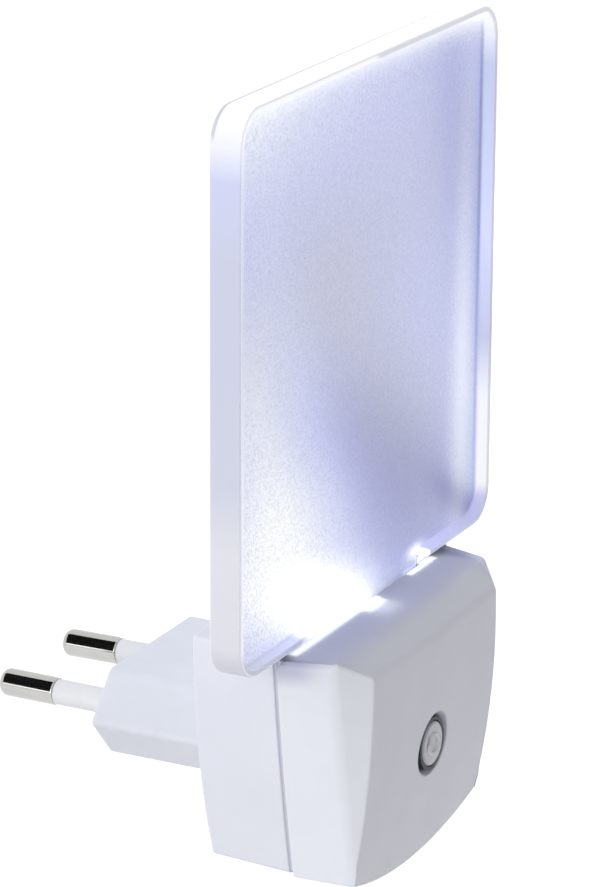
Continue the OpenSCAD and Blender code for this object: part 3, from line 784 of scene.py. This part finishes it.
def face_rows(rings):
    """Fills the front face, which is bowed, with rows of points between the last ring's two sides."""
    ring = rings[FACE]
    base = FACE * RING
    right = [base + N_ACROSS + j for j in range(N_DOWN + 1)]
    left = [base + (RING - j) % RING for j in range(N_DOWN + 1)]
    low = [base + 2 * N_ACROSS + N_DOWN - i for i in range(N_ACROSS + 1)]
    z_end = ring[N_ACROSS + N_DOWN].z
    points, faces = [], []
    rows = [[base + i for i in range(N_ACROSS + 1)]]
    for j in range(1, N_DOWN):
        corner = ring[N_ACROSS + j]
        row = [left[j]]
        for i in range(1, N_ACROSS):
            u = 2 * i / N_ACROSS - 1
            low_x = ring[N_ACROSS + N_DOWN].x * u
            z = corner.z + (underside(low_x, FRONT_LOW_Z) - z_end) * j / N_DOWN
            row.append(len(rings) * RING + len(points))
            points.append(Vector((corner.x * u, face_y(z) - FRONT_CROWN * (1 - u * u), z)))
        rows.append(row + [right[j]])
    rows.append(low)
    for upper, lower in zip(rows, rows[1:]):
        for i in range(N_ACROSS):
            faces.append((upper[i], upper[i + 1], lower[i + 1], lower[i]))
    return points, faces


def front_rings(inset, start_y):
    """The front casing's rings at the seam, the shoulder and the front face, drawn in by an inset."""
    top, low = FRONT_TOP_Z - inset, FRONT_LOW_Z + inset
    lean_inset = inset * 0.6
    seam = casing_ring(lambda z: seam_half(z) - inset, lambda z: start_y, top, low)
    shoulder = casing_ring(lambda z: shoulder_half(z) - inset, lambda z: shoulder_y(z) + lean_inset,
                           top, low)
    face = casing_ring(lambda z: front_half(z) - lean_inset, lambda z: face_y(z) + inset,
                       BROW_Z - inset * 0.4, low)
    return [seam, shoulder, face]


def sunk_top():
    """Takes the front casing's top down between its side lips, and over a soft crest into the brow."""
    start_y, end_y, tall = FRONT_START_Y + PAST, FACE_Y - FRONT_CROWN, TOP_Z + 2 * PAST
    crest_y, floor_z = shoulder_y(FRONT_TOP_Z), FRONT_TOP_Z - SUNK_H
    slope = math.atan2(floor_z - BROW_Z, crest_y - end_y)
    run = CREST_R * math.tan(slope / 2)
    profile = [(start_y, floor_z)]
    profile += arc((crest_y + run, floor_z - CREST_R), CREST_R, 90, 90 + math.degrees(slope), 16)
    profile += [(end_y, BROW_Z), (end_y - PAST, BROW_Z)]
    seam_x, shoulder_x = seam_half(FRONT_TOP_Z) - LIP_W, shoulder_half(FRONT_TOP_Z) - LIP_W
    sections = []
    for y, z in profile:
        if y > crest_y:
            x = shoulder_x + (seam_x - shoulder_x) * (y - crest_y) / (FRONT_START_Y - crest_y)
        else:
            x = FRONT_HALF + (shoulder_x - FRONT_HALF) * max(0, y - FACE_Y) / (crest_y - FACE_Y)
        sections.append([Vector((-x, y, z)), Vector((x, y, z)), Vector((x, y, tall)), Vector((-x, y, tall))])
    return mesh_object("sunk_top", *ruled(sections))


def sensor_dish():
    """The shallow dish round the sensor, which leans with the front face and has a rounded mouth."""
    mouth = face_y(SENSOR_Z) - FRONT_CROWN
    round_r = 0.35 * MM
    mouth_r = RECESS_R + 0.25 * MM
    profile = [(0, DISH_DEPTH), (SENSOR_BORE_R, DISH_DEPTH), (RECESS_R - 0.1 * MM, 0.15 * MM)]
    profile += arc((mouth_r, round_r), round_r, 225, 270, 4)
    profile += [(mouth_r, -PAST), (0, -PAST)]
    lean = Matrix.Rotation(SENSOR_LEAN, 3, "X")
    return lathe("dish", profile, TURNED_STEPS, (0, mouth, SENSOR_Z), lean @ TO_WALL)


def sensor_bore():
    """The straight hole that the ring and the lens stand in."""
    profile = [(0, SENSOR_BORE_DEPTH), (SENSOR_BORE_R, SENSOR_BORE_DEPTH), (SENSOR_BORE_R, -PAST), (0, -PAST)]
    return lathe("bore", profile, TURNED_STEPS, (0, face_y(SENSOR_Z), SENSOR_Z), TO_WALL)


def seam_lip():
    """The tongue on the front casing that closes the seam from inside."""
    play = 0.1 * MM
    start_y, end_y = SEAM_Y + 1 * MM, FRONT_START_Y - 1.5 * MM
    outer = seam_prism("lip", RABBET + play, start_y, end_y)
    cut(outer, seam_prism("lip_hole", WALL + play, start_y + PAST, end_y - PAST))
    return cut(outer, tongue_room())


def seam_groove():
    """The floor of the groove along the seam."""
    band = seam_prism("groove", GROOVE_DEPTH, SEAM_Y, FRONT_START_Y - 0.5 * MM)
    cut(band, seam_prism("groove_hole", WALL, SEAM_Y + PAST, FRONT_START_Y - PAST))
    return cut(band, tongue_room())


def tongue_room():
    """The room that the panel's tongue needs in the front casing's lip."""
    wide = TONGUE_HALF + TONGUE_GAP
    return box_solid("tongue_room", (-wide, FRONT_START_Y - 3 * MM, LIP_TOP_Z),
                     (wide, SEAM_Y + 2 * MM, TOP_Z + PAST))


def front_roundings(rings):
    """How far each edge of the front casing is rounded. Where the facets run thin, it is less."""
    shoulder_round, face_round, plain_round, brow_round = 1.1 * MM, 0.25 * MM, 0.3 * MM, 1.1 * MM
    left_corner, right_corner = TOP_CORNERS
    offsets = along(SEAM, range(RING), SEAM_ROUND)
    for i in [*RIGHT_RUN, *LEFT_RUN]:
        z = (rings[SHOULDER][i].z + rings[SHOULDER][(i + 1) % RING].z) / 2
        room, drop = facet_width(z), TOP_Z - z
        offsets.update(along(SHOULDER, [i], min(shoulder_round, 0.5 * room, 0.4 * MM + 0.12 * drop)))
        offsets.update(along(FACE, [i], min(face_round, 0.2 * room)))
    offsets.update(along(SHOULDER, TOP_RUN, plain_round))
    for i in TOP_RUN:
        u = (2 * i + 1) / N_ACROSS - 1
        offsets.update(along(FACE, [i], face_round + brow_round * (1 - u * u)))
    offsets.update(along(FACE, LOW_RUN, plain_round))
    offsets.update(between(SEAM, [left_corner], 1.7 * MM))
    offsets.update(between(SEAM, [right_corner], 0.7 * MM))
    offsets.update(between(SHOULDER, TOP_CORNERS, 0.4 * MM))
    offsets.update(between(SEAM, LOW_CORNERS, 0.35 * MM))
    offsets.update(between(SHOULDER, LOW_CORNERS, plain_round))
    return offsets


def front_shell():
    rings = front_rings(0, FRONT_START_Y)
    crown_ring(rings[FACE])
    points, faces = ruled(rings)
    more_points, face_faces = face_rows(rings)
    shell = mesh_object("front_shell", points + more_points, faces[:-1] + face_faces)
    bevel(shell, front_roundings(rings))
    cavity = front_rings(WALL, FRONT_START_Y + PAST)
    cut(shell, mesh_object("cavity", *ruled(cavity)))
    join(shell, seam_lip())
    join(shell, seam_groove())
    cut(shell, sunk_top())
    cut(shell, sensor_dish())
    cut(shell, sensor_bore())
    return finish_piece(shell, ["front_casing"], FRONT_WHITE_PAINTED_LIGHTER)


# ---------------------------------------------------------------- plug

def plug_ring(grow, y):
    """The plug's six corners at a depth, from the left ridge, with a rim of some width added."""
    x, flat = PLUG_HALF + grow * RIDGE_SHARE, PLUG_FLAT_HALF + grow * FLAT_SHARE
    high = PLUG_HALF_H + grow
    return [Vector(p) for p in ((-x, y, 0), (-flat, y, high), (flat, y, high), (x, y, 0),
                                (flat, y, -high), (-flat, y, -high))]


def plug_prism(name, grow, start_y, end_y):
    return mesh_object(name, *ruled([plug_ring(grow, start_y), plug_ring(grow, end_y)]))


def on_pin(side):
    """Where one pin's axis starts, and the turn from local Z to the way it points into the wall."""
    place = Vector((side * PIN_X, 0, 0))
    return place, Matrix.Rotation(side * PIN_TOE, 3, "Z") @ TO_WALL


def plug_body():
    flange_y = BACK_Y - WALL
    body = plug_prism("plug_body", 0, 0, flange_y)
    corners = range(6)
    face_round, ridge_round = 0.5 * MM, 0.9 * MM
    offsets = {tuple(sorted((i, (i + 1) % 6))): face_round for i in corners}
    offsets.update({(i, i + 6): ridge_round for i in corners})
    bevel(body, offsets, 6)
    join(body, plug_prism("flange", FLANGE_RIM, flange_y, flange_y - FLANGE_THICK))
    for side in (LEFT, RIGHT):
        cut(body, pin_hole(side))
    return finish_piece(body, ["plug_block"], PLUG_WHITE)


def pin_hole(side):
    """The room for a pin's core and the root of its sleeve, with a chamfered mouth."""
    chamfer, play = 0.25 * MM, 0.1 * MM
    mouth_r, sleeve_r, core_r = SLEEVE_R + play + chamfer, SLEEVE_R + play, CORE_R + play
    core_end = -CORE_RUN - 5 * MM
    profile = [(0, PAST), (mouth_r, PAST), (mouth_r, 0), (sleeve_r, -chamfer), (sleeve_r, -SLEEVE_ROOT),
               (core_r, -SLEEVE_ROOT), (core_r, core_end), (0, core_end)]
    return lathe("pin_hole", profile, HOLE_STEPS, *on_pin(side))


def pin(side, name):
    """Bright metal pin with a rounded nose and a rounded edge where the sleeve starts."""
    nose_r, edge_r = 1.2 * MM, 0.25 * MM
    profile = [(0, -CORE_RUN), (CORE_R, -CORE_RUN), (CORE_R, SLEEVE_LENGTH), (PIN_R - edge_r, SLEEVE_LENGTH)]
    profile += arc((PIN_R - edge_r, SLEEVE_LENGTH + edge_r), edge_r, 270, 360, 4)
    profile += arc((PIN_R - nose_r, PIN_LENGTH - nose_r), nose_r, 0, 90, 10)
    profile += [(0, PIN_LENGTH)]
    made = lathe(name + "_metal", profile, TURNED_STEPS, *on_pin(side))
    return finish_piece(made, [name], PIN_NICKEL)


def sleeve(side, name):
    """White insulating sleeve between the plug's face and the bare metal."""
    edge_r = 0.15 * MM
    inner = CORE_R + 0.05 * MM
    profile = [(inner, -SLEEVE_ROOT), (SLEEVE_R, -SLEEVE_ROOT)]
    profile += arc((SLEEVE_R - edge_r, SLEEVE_LENGTH - edge_r), edge_r, 0, 90, 4)
    profile += [(inner, SLEEVE_LENGTH), (inner, -SLEEVE_ROOT)]
    made = open_lathe(name + "_skin", profile, TURNED_STEPS, *on_pin(side))
    return finish_piece(made, [name], SLEEVE_WHITE)


def open_lathe(name, profile, steps, at, turn):
    """Turns a closed profile that doesn't reach the axis, as for a tube."""
    count = len(profile) - 1
    points, faces = [], []
    for i in range(steps):
        a = math.tau * i / steps
        for radius, height in profile[:-1]:
            spot = Vector((radius * math.cos(a), radius * math.sin(a), height))
            points.append(Vector(at) + turn @ spot)
    for i in range(steps):
        for j in range(count):
            k, nxt = (j + 1) % count, ((i + 1) % steps) * count
            faces.append((i * count + j, i * count + k, nxt + k, nxt + j))
    return mesh_object(name, points, faces)


# ---------------------------------------------------------------- light panel

def panel_ring(inset, y):
    """A rectangle with round corners, drawn in by an inset, at a depth."""
    r = PANEL_R - inset
    half = PANEL_HALF - inset
    low, high = PANEL_LOW + inset, PANEL_TOP - inset
    ring = []
    for cx, cz, start in ((half - r, high - r, 0), (r - half, high - r, 90),
                          (r - half, low + r, 180), (half - r, low + r, 270)):
        for x, z in arc((cx, cz), r, start, start + 90, 8):
            ring.append(Vector((x, y, z)))
    return ring


def frosted_panel():
    back_r, edge_r, inner_r, floor_r = 0.5 * MM, 0.3 * MM, 0.2 * MM, 0.5 * MM
    draft = 0.1 * MM
    rings = [panel_ring(back_r - x, PANEL_BACK_Y - back_r + y) for x, y in arc((0, 0), back_r, 90, 0, 4)]
    rings += [panel_ring(edge_r - x, PANEL_FRONT_Y + edge_r - y) for x, y in arc((0, 0), edge_r, 0, 90, 4)]
    rings += [panel_ring(RIM_W - inner_r - x, PANEL_FRONT_Y + inner_r - y)
              for x, y in arc((0, 0), inner_r, 90, 180, 3)]
    wall_inset = RIM_W + draft
    rings += [panel_ring(wall_inset + floor_r + x, PANEL_FLOOR_Y - floor_r - y)
              for x, y in arc((0, 0), floor_r, 180, 270, 5)]
    panel = mesh_object("frosted_panel", *ruled(rings))
    join(panel, box_solid("tongue", (-TONGUE_HALF, PANEL_FLOOR_Y, PANEL_LO.z),
                          (TONGUE_HALF, PANEL_BACK_Y, PANEL_LOW + 2 * MM)))
    cut(panel, box_solid("light_gate", (-TONGUE_HALF, PANEL_FRONT_Y - PAST, PANEL_LOW - PAST),
                         (TONGUE_HALF, PANEL_FLOOR_Y, GATE_TOP)))
    return finish_piece(panel, ["light_panel"], PANEL_FROST, 40)


# ---------------------------------------------------------------- sensor

def lens():
    """A milky lens with a rounded edge and a low bead in the middle."""
    back = LENS_HI.y
    depth = back - face_y(SENSOR_Z) + FRONT_CROWN
    edge_r, bead_r, bead_at = 0.4 * MM, 0.3 * MM, 1.4 * MM
    profile = [(0, 0), (LENS_R, 0)]
    profile += arc((LENS_R - edge_r, depth - edge_r), edge_r, 0, 90, 5)
    profile += arc((bead_at, depth), bead_r, 0, 180, 8)
    profile += [(0, depth + 0.1 * MM)]
    made = lathe("lens_dome", profile, TURNED_STEPS, (0, back, SENSOR_Z), TO_ROOM)
    return finish_piece(made, ["sensor_lens"], LENS_MILKY)


# ---------------------------------------------------------------- parts that keep their CAD shape

INNER_LOOKS = {
    "light_sensor": (rgb(205, 150, 115), rgb(190, 130, 95)),
    "circuit_board": (rgb(62, 128, 80), rgb(50, 110, 66)),
    "film_capacitor": (rgb(222, 186, 70), rgb(205, 165, 50)),
    "smoothing_capacitor": (rgb(60, 74, 130), rgb(46, 58, 108)),
    "bridge_rectifier": (rgb(52, 52, 56), rgb(40, 40, 44)),
    "fuse_resistor": (rgb(160, 172, 186), rgb(140, 152, 168)),
    "bleed_resistor": (rgb(208, 186, 148), rgb(192, 168, 128)),
    "transistor": (rgb(46, 46, 50), rgb(36, 36, 40)),
    "zener_diode": (rgb(190, 100, 70), rgb(168, 82, 55)),
    "led_holder": (rgb(244, 244, 244), rgb(236, 236, 238)),
    "left_led": (rgb(240, 243, 255), rgb(230, 234, 250)),
    "middle_led": (rgb(240, 243, 255), rgb(230, 234, 250)),
    "right_led": (rgb(240, 243, 255), rgb(230, 234, 250)),
    "live_wire": (rgb(140, 92, 52), rgb(124, 78, 42)),
    "neutral_wire": (rgb(62, 106, 180), rgb(50, 90, 162)),
}


def dress_cad_nodes():
    looks = {name: moulded_plastic(name + "_finish", light, dark, 0.45)
             for name, (light, dark) in INNER_LOOKS.items()}
    looks.update(sensor_shroud=SHROUD_DARK, casing_screws=PIN_NICKEL)
    for name, material in looks.items():
        node = frame["nodes"][name]
        node.data.materials.clear()
        node.data.materials.append(material)


# ---------------------------------------------------------------- stage, lights and camera

CENTRE = Vector((0, -25 * MM, 38 * MM))
FLOOR_Z = -0.16


def floor():
    """A wide pale floor below the object, which the camera sees as white."""
    material, s = new_shader("floor_pale")
    s.set(Base_Color=s.mix(s.noise(6, 2), (0.73, 0.73, 0.73, 1), (0.75, 0.75, 0.75, 1)), Roughness=1.0)
    s.set(Specular_IOR_Level=0.0, Emission_Color=(1, 1, 1, 1))
    s.set(Emission_Strength=s.math("MULTIPLY", s.off_stage(), 0.52))
    reach = 4.0
    corners = ((-reach, -reach), (reach, -reach), (reach, reach), (-reach, reach))
    obj = mesh_object("floor", [Vector((x, y, FLOOR_Z)) for x, y in corners], [(0, 1, 2, 3)])
    obj.data.materials.append(material)


def world():
    """Studio light, dim from the room and strong from the wall's side, and plain white behind the object."""
    made = bpy.data.worlds.new("studio")
    made.use_nodes = True
    s = Shader(made.node_tree, "Background", "Generated")
    toward_wall = s.range(s.y, -1, 1, kind="LINEAR")
    from_room, from_wall = (0.05, 0.05, 0.054, 1), (1.3, 1.306, 1.38, 1)
    light = s.mix(toward_wall, from_room, from_wall)
    s.set(Color=s.mix(s.off_stage(), light, (1, 1, 1, 1)))
    bpy.context.scene.world = made


def reflector(name, start, end, strength):
    """A card curved round the pins between two angles, up from the left, that only shiny surfaces see."""
    radius, near, far, steps = 0.5, 0.05, 0.6, 12
    points, faces = [], []
    for i in range(steps + 1):
        a = math.radians(start + (end - start) * i / steps)
        for y in (near, far):
            points.append(Vector((-radius * math.cos(a), y, radius * math.sin(a))))
    for i in range(steps):
        faces.append((2 * i, 2 * i + 1, 2 * i + 3, 2 * i + 2))
    material, s = new_shader(name + "_card")
    s.set(Base_Color=(0, 0, 0, 1), Specular_IOR_Level=0.0, Emission_Color=(1, 1, 1, 1))
    s.set(Emission_Strength=s.spread(s.noise(3), strength * 0.9, strength * 1.1))
    obj = mesh_object(name, points, faces)
    obj.data.materials.append(material)
    obj.visible_camera = obj.visible_diffuse = obj.visible_shadow = obj.visible_transmission = False


def lamp(name, place, width, height, watts, colour=(1, 1, 1), toward=CENTRE):
    """A rectangular lamp, out of the camera's sight, that faces a point."""
    data = bpy.data.lights.new(name, "AREA")
    data.shape = "RECTANGLE"
    data.size, data.size_y = width, height
    data.energy = watts
    data.color = colour
    obj = bpy.data.objects.new(name, data)
    bpy.context.scene.collection.objects.link(obj)
    obj.location = place
    obj.visible_camera = False
    obj.rotation_mode = "QUATERNION"
    obj.rotation_quaternion = (Vector(toward) - Vector(place)).to_track_quat("-Z", "Y")


def small_glow(name, place, width, height, radiance, toward):
    """A small lamp of even brightness, close to the surface that it lights."""
    lamp(name, place, width, height, radiance * math.pi * width * height, (0.88, 0.92, 1), toward)


def glow_down(name, x, y, height, width, depth, radiance):
    """Light from the panel's foot that falls on the casing's top from just above it."""
    small_glow(name, (x, y, FRONT_TOP_Z - SUNK_H + height), width, depth, radiance, (x, y, 0))


def keep_glow_off(glowing, others):
    """Stops a glowing piece from lighting others, which its own forward light would miss."""
    lit = bpy.data.collections.new("not_lit_by_" + glowing.name)
    for other in others:
        lit.objects.link(other)
    for entry in lit.collection_objects:
        entry.light_linking.link_state = "EXCLUDE"
    glowing.light_linking.receiver_collection = lit


def camera():
    """The photograph's viewpoint: its angles, distance and focal length."""
    azimuth, elevation, roll = math.radians(-63.47), math.radians(17.84), math.radians(0.33)
    distance = 564.75 * MM
    target = Vector((-2.86 * MM, -25 * MM, 40.39 * MM))
    focal_pixels, long_side = 4134.2, 887
    data = bpy.data.cameras.new("camera")
    data.sensor_width = 36
    data.lens = focal_pixels * data.sensor_width / long_side
    data.clip_start, data.clip_end = 0.01, 20
    obj = bpy.data.objects.new("camera", data)
    bpy.context.scene.collection.objects.link(obj)
    back = Vector((math.sin(azimuth) * math.cos(elevation), -math.cos(azimuth) * math.cos(elevation),
                   math.sin(elevation)))
    across = (-back).cross(Vector((0, 0, 1))).normalized()
    upward = across.cross(-back)
    side = math.cos(roll) * across + math.sin(roll) * upward
    top = -math.sin(roll) * across + math.cos(roll) * upward
    turn = Matrix((side, top, back)).transposed().to_4x4()
    obj.matrix_world = Matrix.Translation(target + back * distance) @ turn
    bpy.context.scene.camera = obj


rear = rear_shell()
front = front_shell()
plug_body()
for pin_side, pin_name in ((LEFT, "left_pin"), (RIGHT, "right_pin")):
    pin(pin_side, pin_name)
    sleeve(pin_side, pin_name + "_sleeve")
panel = frosted_panel()
lens()
dress_cad_nodes()
floor()
world()
reflector("dark_flag", 9, 95, 0.01)
reflector("bright_strip", 1, 9, 1.9)
lamp("key", (-0.96, -0.1, 0.22), 0.6, 0.6, 3.0)
lamp("front_fill", (-0.2, -0.75, 0.65), 0.6, 0.6, 0.2)
lamp("right_side", (0.95, 0.26, 0.1), 0.3, 0.3, 1.5)

# The panel's blue spill on the front casing, and its bright light on the casing's top along its foot
SPILL_SPOT = (0, PANEL_FRONT_Y - 0.6 * MM, 23 * MM)
lamp("glow_on_casing", SPILL_SPOT, 60 * MM, 6 * MM, 0.0003, (0.03, 0.08, 1), (0, -45 * MM, 0))
FOOT_Y = PANEL_FRONT_Y + 1.1 * MM
glow_down("left_foot_glow", -9.3 * MM, FOOT_Y, 0.35 * MM, 26.2 * MM, 1.5 * MM, 1.05)
glow_down("right_foot_glow", 18 * MM, FOOT_Y, 0.25 * MM, 8.5 * MM, 1.5 * MM, 1.0)
glow_down("light_leak", 0.4 * MM, PANEL_FRONT_Y - 0.1 * MM, 0.6 * MM, 5.4 * MM, 1.6 * MM, 1.3)
glow_down("leak_halo", 0.4 * MM, PANEL_FRONT_Y - 2.1 * MM, 1.5 * MM, 5 * MM, 1.6 * MM, 0.7)

# The part of the rear casing's edge that shows lit, just right of the light gate
GAP_X, GAP_Z = 19.8 * MM, 18.25 * MM
GAP_SPOT = (GAP_X, PANEL_FLOOR_Y - 0.25 * MM, GAP_Z)
small_glow("gap_glow", GAP_SPOT, 3.4 * MM, 1.2 * MM, 0.9, (GAP_X, 0, GAP_Z))
keep_glow_off(panel, [rear, front])
camera()
bpy.context.scene.view_settings.view_transform = "Standard"
